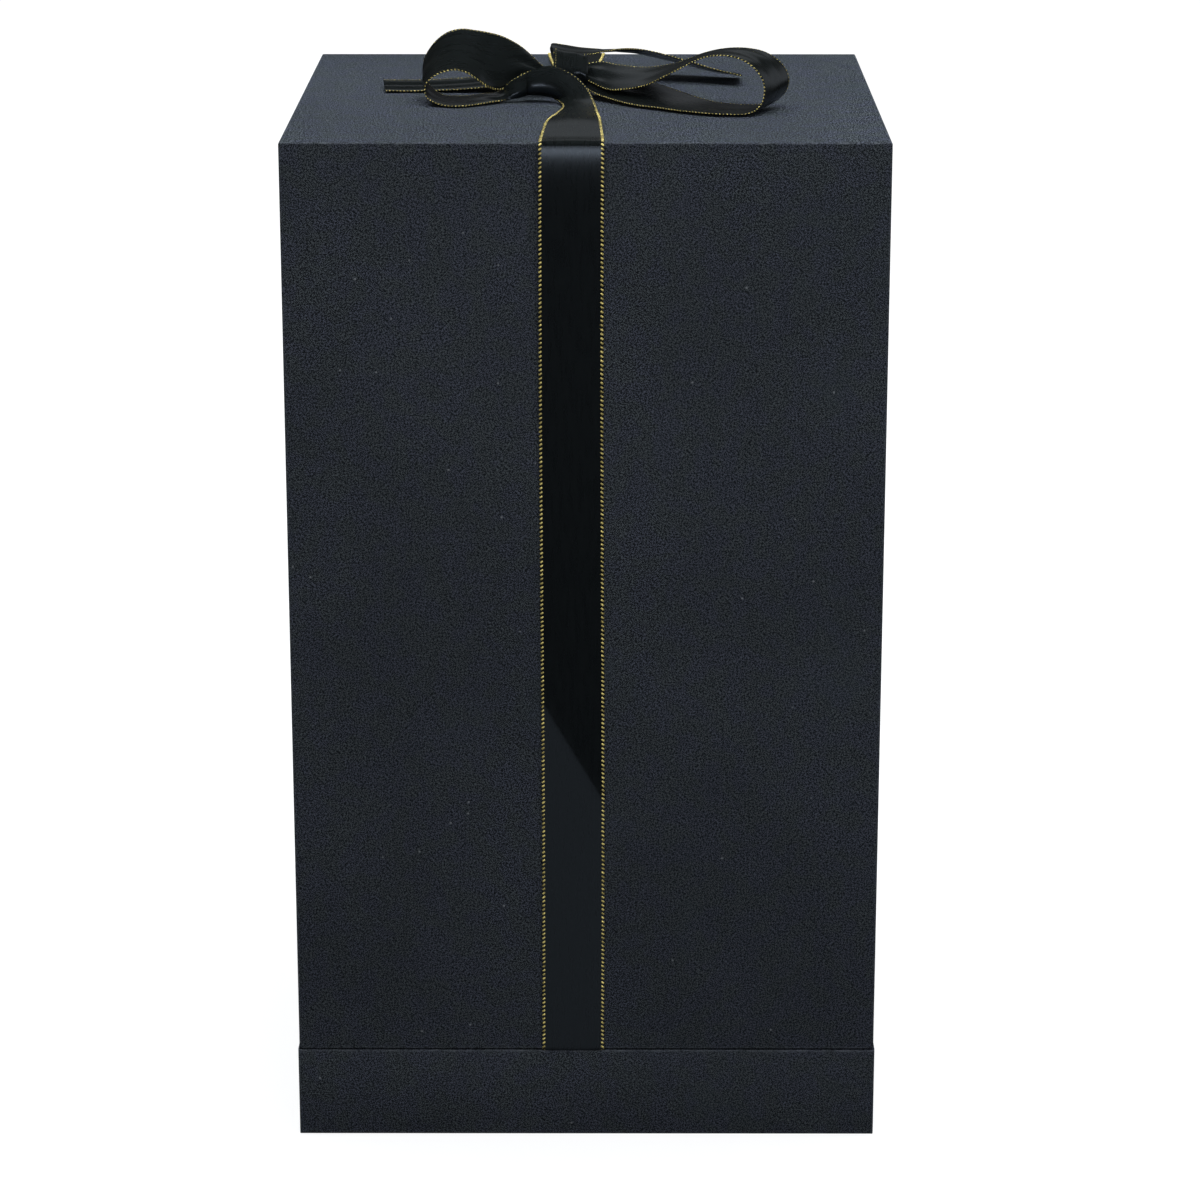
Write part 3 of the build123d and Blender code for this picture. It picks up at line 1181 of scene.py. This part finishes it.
@dataclass
class RibbonBand(RibbonLength):
    """A band that is glued up inside the cover, climbs one face and runs over the top.

    near and far hold its two edges on top, on the -X side and the +X side: place along X, distance from
    the middle of the box, and height.
    """

    side: float = -1.0
    middle: float = -5.5
    hem: float = 12.0
    inside: float = 2.2
    skin: float = 0.42
    bulge: float = 2.3
    bulge_reach: float = 9.0
    edge_round: float = 2.4
    wander: float = 0.25
    face_rows: int = 300
    top_rows: int = 190
    crease: tuple[float, float] | None = None
    crease_rise: float = 0.30
    crease_reach: float = 1.6
    wander_length: float = 61.0
    hem_rows: int = 12
    under_rows: int = 7
    corner_rows: int = 12
    face_from: float = 119.0
    # thinner over the top, and painted darker there: painted shade
    thinning_and_shade: tuple = ((0.0, 1.0), (0.45, 0.88), (0.85, 0.45))

    def profile(self) -> np.ndarray:
        """Draw the band's line from its hem to the edge of the top.

        Returns:
            Each place's distance out and height over the top, in millimetres.
        """
        low, high = (np.array(corner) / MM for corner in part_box("cover_wrap"))
        skin = high[0] + self.skin
        foot = low[2] - high[2]
        inside = high[0] - self.inside
        hem = [(inside, foot + self.hem * (1 - t)) for t in np.linspace(0, 0.97, self.hem_rows)]
        under = []
        for t in np.linspace(0, 1, self.under_rows):
            under.append((inside + (skin - inside) * t, foot - 0.24 + 0.1 * math.sin(math.pi * t)))
        lean = math.atan(self.bulge / self.bulge_reach)
        brow = self.skin - self.edge_round * (1 - math.sin(lean))
        face = []
        for height in np.linspace(foot * 0.998, brow, self.face_rows):
            below = (brow - height) / self.bulge_reach
            face.append((skin + self.bulge * (1 - math.exp(-below)) * math.exp(-below / 4.0), height))
        corner = []
        for angle in np.linspace(lean, math.pi / 2, self.corner_rows)[1:]:
            away = skin + self.edge_round * (math.cos(angle) - math.cos(lean))
            corner.append((away, self.skin + self.edge_round * (math.sin(angle) - 1)))
        return np.array(hem + under + face + corner)

    def edge_lines(self) -> tuple[np.ndarray, np.ndarray]:
        """Draw the two edges smoothly.

        Returns:
            The places of each edge, in metres.
        """
        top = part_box("cover_wrap")[1][2]
        profile = self.profile()
        half = self.full_width / 2 / MM
        lines = []
        for way, points in ((-1.0, self.near), (1.0, self.far)):
            x = self.middle + way * half + self.wander * np.sin(profile[:, 1] / self.wander_length)
            climb = np.stack([x, profile[:, 0], profile[:, 1]], axis=1)
            line = np.vstack([climb, flow(points, self.top_rows)[1:]])
            line[:, 1] *= self.side
            lines.append(line * MM + (0, 0, top))
        return (lines[1], lines[0]) if self.side < 0 else (lines[0], lines[1])

    def standing_off(self, rows: int) -> np.ndarray:
        """How far the middle of the width stands off its straight line.

        Args:
            rows: how many rows the sheet has.

        Returns:
            An offset in metres for each row.
        """
        off = np.zeros((rows, 3))
        if self.belly:
            off[-self.top_rows:] = flow(self.belly, self.top_rows) * MM
        return off

    def fullness(self, rows: int) -> np.ndarray:
        """The gold cord's share of its full size: it is stretched thinner over the top, and painted darker
        there, a painted shade.

        Args:
            rows: how many rows the sheet has.

        Returns:
            The share for each row.
        """
        share = np.ones(rows)
        share[-self.top_rows:] = np.interp(np.linspace(0, 1, self.top_rows), *zip(*self.thinning_and_shade))
        return share

    def past_crease(self, places: np.ndarray) -> np.ndarray:
        """How far below the slanting crease places on the face are.

        Args:
            places: the places, in metres.

        Returns:
            The distances in millimetres.
        """
        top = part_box("cover_wrap")[1][2]
        left, right = self.crease
        half = self.full_width / 2 / MM
        across = (places[..., 0] / MM - self.middle + half) / (2 * half)
        return left + (right - left) * across - (places[..., 2] - top) / MM

    def grid(self) -> np.ndarray:
        """Lay the satin, with the sharp ridge of its crease.

        Returns:
            The places, along first and across second.
        """
        grid = super().grid()
        if self.crease:
            away = np.abs(self.past_crease(grid)) / self.crease_reach
            grid[..., 1] += self.side * self.crease_rise * MM * np.exp(-away)
        return grid

    def paint_crease_sheen(self, cloth: bpy.types.Object) -> None:
        """Mark the satin below its crease, which gets a painted sheen: a lighter colour there.

        Args:
            cloth: the satin.
        """
        if not self.crease:
            return
        places = np.array([corner.co for corner in cloth.data.vertices])
        # painted sheen: the satin on the face is coloured lighter the further below the crease it lies
        below = np.clip(self.past_crease(places) / self.crease_reach, 0.0, 1.0)
        on_face = np.abs(places[:, 1]) > self.face_from * MM
        cloth.data.attributes.new("painted_crease_sheen", "FLOAT", "POINT").data.foreach_set("value", below * on_face)


@dataclass
class Knot:
    """The short length of ribbon wrapped round the bow's middle, and the gathers inside it."""

    name: str = "bow_knot_wrap"
    centre: Point = (-6.7, -1.0, 11.9)
    across: float = 13.8
    deep: float = 7.2
    tall: float = 4.4
    slope: float = -0.22
    lean: float = 33.0
    skew: float = 0.12
    turn_rows: int = 72
    columns: int = 17
    width: float = 25.4 * MM
    thick: float = 0.4 * MM
    squareness: float = 0.62
    visible_share: float = 0.60

    def grid(self) -> np.ndarray:
        """Wrap the ribbon round the knot, pinched and gathered.

        Returns:
            The places in metres, round the knot first and across it second.
        """
        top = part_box("cover_wrap")[1][2]
        lean = math.radians(self.lean)
        rows = []
        for angle in np.linspace(0, 2 * math.pi, self.turn_rows, endpoint=False):
            places = []
            for s in np.linspace(0, 1, self.columns):
                gather = math.sin(2.5 * math.pi * s * s + 2 * angle)
                pinch = 1.0 - 0.08 * math.sin(math.pi * s) + 0.04 * gather
                x = (s - 0.5) * self.across
                cos, sin = math.cos(angle), math.sin(angle)
                flat = -math.copysign(abs(cos) ** self.squareness, cos) * self.deep * pinch
                rise = math.copysign(abs(sin) ** self.squareness, sin) * self.tall * pinch
                y = flat * math.cos(lean) - rise * math.sin(lean) + self.skew * x
                z = flat * math.sin(lean) + rise * math.cos(lean) + self.slope * x
                places.append((self.centre[0] + x, self.centre[1] + y, self.centre[2] + z))
            rows.append(places)
        return np.array(rows) * MM + (0, 0, top)

    def build(self, satin: bpy.types.Material, gold: bpy.types.Material) -> None:
        """Make the wrap, gold cord along one of its edges, and the gathers inside.

        Args:
            satin: the satin's material.
            gold: the gold thread's material.
        """
        grid = self.grid()
        cloth = grid_mesh(self.name, grid, closed=True)
        finish_with(cloth, "SOLIDIFY", thickness=self.thick, offset=0.0)
        take(cloth)
        bpy.ops.object.shade_smooth()
        dress(cloth, satin, Body.COVER)
        gold_edge = GoldEdge()
        ring = np.concatenate([grid, grid[:1]])
        frames = edge_frames(ring, gold_edge.width / 2, np.ones(len(ring)))[:1]
        cords = gold_edge.mesh(self.name + "_gold", frames)
        dress(cords, gold, Body.COVER)
        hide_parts("bow_knot")
        self.gathers(satin)

    def gathers(self, satin: bpy.types.Material) -> None:
        """Fill the wrap with the gathered middle of the bow.

        Args:
            satin: the satin's material.
        """
        deselect_all()
        x, y, height = (c * MM for c in self.centre)
        place = (x, y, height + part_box("cover_wrap")[1][2])
        bpy.ops.mesh.primitive_uv_sphere_add(segments=48, ring_count=24, radius=1.0, location=place)
        heart = bpy.context.active_object
        heart.name = heart.data.name = "bow_knot_gathers"
        heart.rotation_euler = (math.radians(self.lean), math.atan(-self.slope), 0.0)
        heart.scale = (self.across * 0.55 * MM, self.deep * 0.84 * MM, self.tall * 0.82 * MM)
        bpy.ops.object.transform_apply(location=True, rotation=True, scale=True)
        layer = heart.data.uv_layers.active or heart.data.uv_layers.new(name="ribbon")
        layer.name = "ribbon"
        for loop in heart.data.loops:
            corner = heart.data.vertices[loop.vertex_index].co
            layer.data[loop.index].uv = (corner.x, corner.y + corner.z)
        take(heart)
        bpy.ops.object.shade_smooth()
        dress(heart, satin, Body.COVER)


@dataclass
class Bow:
    """The ribbon round the cover and the bow tied over its middle.

    Places are in millimetres, with heights over the cover's top. The front band's strand passes in front
    of the knot, turns up on its edge and goes on as the lower layer of the left loop.
    """

    front_strand: tuple = (
        [(-18.2, 117.9, 0.43), (-17.9, 111, 0.7), (-17.2, 102, 1.9), (-16.4, 94, 3.1), (-15.5, 86, 3.5),
         (-14.2, 74, 2.8), (-12.3, 57, 1.5), (-10.0, 36, 0.9), (-12.0, 24, 1.3), (-15.5, 15, 1.4),
         (-19.5, 13, 1.6), (-23.5, 12.5, 2.0), (-26, 13.0, 2.0)],
        [(7.2, 117.9, 0.43), (7.1, 111, 0.7), (6.7, 102, 1.9), (6.3, 94, 3.1), (6.0, 86, 3.6),
         (5.6, 74, 3.0), (4.8, 57, 2.0), (3.2, 36, 3.0), (0.4, 24.5, 6.4), (-5.5, 17.5, 11.2),
         (-14.5, 15.6, 14.6), (-23.5, 16.6, 12.6), (-26, 15.5, 11)],
    )
    front_belly: Sequence[Point] = (
        (0, 0, 0), (0, 0, 0.1), (0, 0, 0.3), (0, 0, 0.4), (0, 0, 0.4), (0, 0, 0.2), (0, 0, 0),
        (0.6, -0.6, -0.2), (1.0, -3.6, -0.6), (0.5, -6.5, -1.8), (0, -6.0, -2.2), (0, -5.0, -2.1),
        (0, -3.2, -2.0),
    )
    back_strand: tuple = (
        [(-18.2, 118, 0.45), (-17.4, 100, 1.0), (-15.5, 75, 1.5), (-13.4, 50, 1.6), (-12.2, 30, 3.0),
         (-12.2, 17, 6.5), (-12.4, 6, 10.0)],
        [(7.2, 118, 0.45), (6.4, 100, 1.0), (4.6, 75, 1.5), (2.2, 50, 1.6), (0.4, 30, 3.0),
         (-0.5, 17, 6.5), (-0.8, 6, 10.0)],
    )
    left_loop: tuple = (
        [(-12, -3, 8), (-19, -5, 7), (-26, -8, 6), (-32.4, -13, 5.2), (-37.2, -18, 5),
         (-41.5, -22.5, 7.2), (-45.5, -25, 10.5), (-49.9, -26, 13.4), (-55.1, -26.5, 14.5),
         (-62.1, -26.5, 12.5), (-66.5, -26.5, 8.5), (-66.1, -29, 3.8), (-60.4, -33.5, 1.2),
         (-51.6, -35, 0.9), (-42, -28.5, 1.1), (-33.2, -21, 1.4), (-28.4, -16, 1.7), (-23.5, -12.0, 2.0)],
        [(-12, 3, 9.5), (-18.5, 2.5, 12), (-23, 3, 16), (-28.4, 2.5, 20.6), (-35, -1, 24.7),
         (-41.1, -3.5, 26.8), (-46.4, -5, 27.9), (-52.5, -5, 28.5), (-58.6, -4.5, 26.8), (-64.3, -4, 22),
         (-68.2, -4, 15), (-67.4, -5.5, 7.5), (-61.2, -8.5, 2), (-52.5, -10.2, 1.2), (-44.2, -7, 1.6),
         (-37.2, -11.5, 3.4), (-30.6, -15.5, 9), (-23.5, -16.2, 13.0)],
    )
    left_belly: Sequence[Point] = (
        (0, 0, 0), (0, -1, 1), (0, -2, 2), (0, -2, 2), (0, -1, 1), (0, 0, 0), (0, 0, 0), (0, 0, 0),
        (0, 0, 0), (-0.5, 0, 0), (-0.8, 0, 0), (-0.5, 0, 0), (0, 0, 0), (0, 0, 0), (0, -1.5, 0),
        (0, -4, -0.8), (0, -5, -2), (0, -4.2, -2.2),
    )
    right_loop: tuple = (
        [(-2, -4, 8), (6.9, -14, 5.1), (12.9, -20, 5.3), (24.1, -28, 8.4), (35, -35, 14.7),
         (45.7, -41, 21), (53.3, -45, 23.2), (60.8, -47, 22.6), (67.3, -48, 19.3), (71.6, -49, 13.7),
         (72.3, -50.5, 8), (70.2, -53.5, 3.6), (64.7, -57.5, 1.3), (51.9, -57, 1.3), (39.9, -50.5, 1.3),
         (29.4, -41.8, 1.3), (18.4, -32.8, 1.3), (6, -18, 2.5), (-2, -8, 5)],
        [(-2, 7, 12), (6, 7.5, 13), (14, 3.5, 12.2), (25.1, -4, 12.4), (37.1, -11, 15.2),
         (48.7, -17, 20.3), (57.5, -21.5, 22.8), (66.3, -24.5, 23.3), (74.1, -25.5, 21.6),
         (80.6, -26.5, 17), (83.4, -28, 11), (81.1, -30.5, 5), (74.1, -34, 1.8), (60.2, -33.5, 1.6),
         (50.1, -26, 2), (39, -19, 4.5), (27, -10, 7.0), (12, -2, 7.5), (-2, 3, 8)],
    )
    left_tail: tuple = (
        [(-12, 5, 8), (-22, 6, 6), (-36, 6, 3.4), (-50, 5.8, 1.8), (-64, 5.6, 1.1), (-75, 5.4, 0.9),
         (-85, 5, 1.1)],
        [(-12, 11, 10), (-22, 20, 8), (-36, 25, 5.4), (-50, 25.5, 3.6), (-64, 25, 2.8), (-75, 24.5, 2.6),
         (-87, 24, 2.8)],
    )
    right_tail: tuple = (
        [(-8.9, 5, 11), (-12.5, 8, 14), (-13.9, 9, 17.0), (-10.2, 9, 15.9), (-5, 9, 15.4), (2, 12, 15.6),
         (10, 21, 15.8), (18, 31, 15.0), (27.2, 37, 13.2), (41.6, 34, 9.8), (54.2, 29, 6.7),
         (65.9, 25, 4.4)],
        [(-8.9, 9, 11), (-14.3, 24, 15), (-15.2, 31, 17.2), (-9.8, 33, 16.4), (-3, 33, 15.3),
         (6, 34, 14.4), (14, 41, 12.4), (20.9, 50, 10.4), (28.1, 59, 7.6), (41.6, 57, 4.6),
         (54.2, 52, 2.2), (65.9, 48, 1.1)],
    )
    crease: tuple[float, float] = (-227.5, -270.8)

    def build(self) -> None:
        """Make every length of ribbon."""
        satin = Satin("black_satin").make()
        gold = GoldThread("gold_thread").make()
        band_gold = GoldEdge(1.45 * MM, 0.8 * MM, 1.8 * MM, 10)
        for end, side, strand, belly, crease in (
            ("front", -1.0, self.front_strand, self.front_belly, self.crease),
            ("back", 1.0, self.back_strand, (), None),
        ):
            name = f"ribbon_{end}_band"
            nodes = (name, name + "_gold_edges")
            RibbonBand(
                name + "_satin", nodes, *strand, Hold.STRETCHED, ("cover_wrap",), belly,
                fold_depth=0.0, gold=band_gold, side=side, crease=crease,
            ).build(satin, gold)
        for name, edges, held, belly in (
            ("bow_left_loop", self.left_loop, Hold.FOLDED, self.left_belly),
            ("bow_right_loop", self.right_loop, Hold.FOLDED, ()),
            ("bow_left_tail", self.left_tail, Hold.LAID, ()),
            ("bow_right_tail", self.right_tail, Hold.LAID, ()),
        ):
            nodes = (name, name + "_gold_edges")
            plain = name == "bow_left_loop"
            RibbonLength(
                name + "_satin", nodes, *edges, held, ("cover_wrap",), belly, plain_end=plain,
            ).build(satin, gold)
        Knot().build(satin, gold)


# ---- Box -----------------------------------------------------------------------------------------
@dataclass
class GiftBox:
    """The papered box: its skins, and the finish of every board, tape and lining inside."""

    def build(self) -> None:
        """Model the skins and dress the kept nodes."""
        cover_low, cover_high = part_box("cover_wrap")
        tray_low, tray_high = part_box("tray_wrap")
        cover_paper = BookPaper("cover_book_paper", cover_high[0], cover_low[2], cover_high[2])
        tray_paper = BookPaper("tray_book_paper", tray_high[0], tray_low[2], tray_high[2])
        Jacket("cover_jacket", "cover_wrap", Body.COVER, cover_paper).build()
        tray_board = {"wall": 3.5 * MM, "fold": 0.6 * MM}
        Jacket("tray_jacket", "tray_wrap", Body.BASE, tray_paper, open_up=True, **tray_board).build()
        self.dress_nodes()

    def dress_nodes(self) -> None:
        """Give each kept node the finish of what it is made of."""
        board = Greyboard("greyboard").make()
        tape = PlainPaper("kraft_tape", (0.30, 0.19, 0.10), (0.46, 0.32, 0.19), 0.6, 0.0012, 0.00008).make()
        lining = PlainPaper("black_lining_paper").make()
        finishes = {Slot.GREYBOARD.value: board, Slot.KRAFT.value: tape, Slot.LINING.value: lining}
        for entry in frame["record"]["subparts"]:
            finish = finishes.get(entry["material_slot"])
            if finish is None:
                continue
            node = frame["nodes"][entry["node"]]
            for index in range(len(node.material_slots)):
                node.material_slots[index].material = finish
            log.info("%s is %s", entry["node"], finish.name)


# ---- Studio --------------------------------------------------------------------------------------
@dataclass(frozen=True)
class Softbox:
    """A soft area light, that aims at a height over the box's middle.

    wide and deep are in metres and power in watts. A sheen shows only as a reflection, and any other
    one only lights surfaces evenly.
    """

    name: str
    place: Point
    wide: float
    deep: float
    power: float
    colour: Colour
    sheen: bool = False
    aim: float = 0.3

    def hang(self) -> None:
        """Add the light to the scene."""
        lamp = bpy.data.lights.new(self.name, "AREA")
        lamp.shape = "RECTANGLE"
        lamp.size, lamp.size_y, lamp.energy = self.wide, self.deep, self.power
        lamp.color = self.colour
        holder = placed(self.name, lamp)
        holder.location = self.place
        way = Vector((0.0, 0.0, self.aim)) - Vector(self.place)
        holder.rotation_euler = way.to_track_quat("-Z", "Y").to_euler()
        holder.visible_camera = False
        holder.visible_diffuse = not self.sheen
        holder.visible_glossy = self.sheen


@dataclass
class Studio:
    """Pale floor, soft lights and the camera."""

    lens: float = 114.6
    eye: Point = (0.0096, -1.6, 0.6689)
    tilt: float = 16.37
    yaw: float = 0.15
    floor_size: float = 24.0
    room_glow: float = 0.07
    unseen_glow: float = 0.045
    cool: Colour = (0.90, 0.95, 1.0)
    plain: Colour = (0.95, 0.972, 1.0)
    room_colour: Colour = (0.97, 0.985, 1.0)

    def build(self) -> None:
        """Set the stage."""
        self.lay_floor()
        self.light_world()
        for light in (
            Softbox("overhead", (0.05, 0.15, 1.75), 1.9, 1.5, 61.0, self.cool),
            Softbox("front_top", (0.0, -2.9, 1.45), 1.8, 0.7, 24.0, self.plain),
            Softbox("front_left", (-1.5, -1.7, 1.5), 1.0, 1.0, 7.0, self.plain),
            Softbox("front_right", (1.7, -1.2, 1.1), 0.8, 1.2, 11.0, self.plain),
            Softbox("overhead_sheen", (0.05, 0.15, 1.75), 1.9, 1.5, 12.0, self.cool, sheen=True),
            Softbox("behind_sheen", (0.0, 2.2, 1.75), 2.4, 0.9, 1.9, self.cool, sheen=True),
            Softbox("left_sheen", (-1.5, -1.7, 1.5), 1.0, 1.0, 3.0, self.cool, sheen=True),
            Softbox("front_sheen", (0.0, -2.9, 1.02), 2.0, 0.4, 16.0, self.plain, sheen=True, aim=0.4),
            Softbox("right_sheen", (1.9, 1.2, 1.0), 1.0, 1.0, 1.2, self.cool, sheen=True, aim=0.42),
        ):
            light.hang()
        self.add_camera()

    def lay_floor(self) -> None:
        """Add the floor."""
        deselect_all()
        bpy.ops.mesh.primitive_grid_add(x_subdivisions=4, y_subdivisions=4, size=self.floor_size)
        floor = bpy.context.active_object
        floor.name = floor.data.name = "studio_floor"
        floor.data.materials.append(StudioFloor("pale_floor").make())

    def light_world(self) -> None:
        """A white room to the eye, dimmer in what it lights."""
        world = bpy.data.worlds.new("studio_room")
        world.use_nodes = True
        bpy.context.scene.world = world
        graph = Graph(world.node_tree)
        path = graph.add("LightPath").outputs
        less = graph.math("MULTIPLY", path["Is Glossy Ray"], self.unseen_glow)
        seen = graph.math("MULTIPLY", path["Is Camera Ray"], 1.0 - self.room_glow)
        strength = graph.math("ADD", seen, graph.math("SUBTRACT", self.room_glow, less))
        back = world.node_tree.nodes["Background"]
        graph.feed(back, {"Color": self.room_colour, "Strength": strength})

    def add_camera(self) -> None:
        """Add the camera and make it the scene's."""
        camera = bpy.data.cameras.new("camera")
        camera.lens = self.lens
        camera.clip_start, camera.clip_end = 0.05, 60.0
        holder = placed("camera", camera)
        holder.location = self.eye
        holder.rotation_euler = (math.radians(90.0 - self.tilt), 0.0, math.radians(self.yaw))
        bpy.context.scene.camera = holder


def main() -> None:
    """Build the studio, the box and the ribbon."""
    logging.basicConfig(level=logging.INFO, format="%(name)s: %(message)s")
    bpy.context.scene.view_settings.view_transform = "Standard"
    build_effects()
    Studio().build()
    GiftBox().build()
    Bow().build()
    deselect_all()


if __name__ == "__main__":
    main()
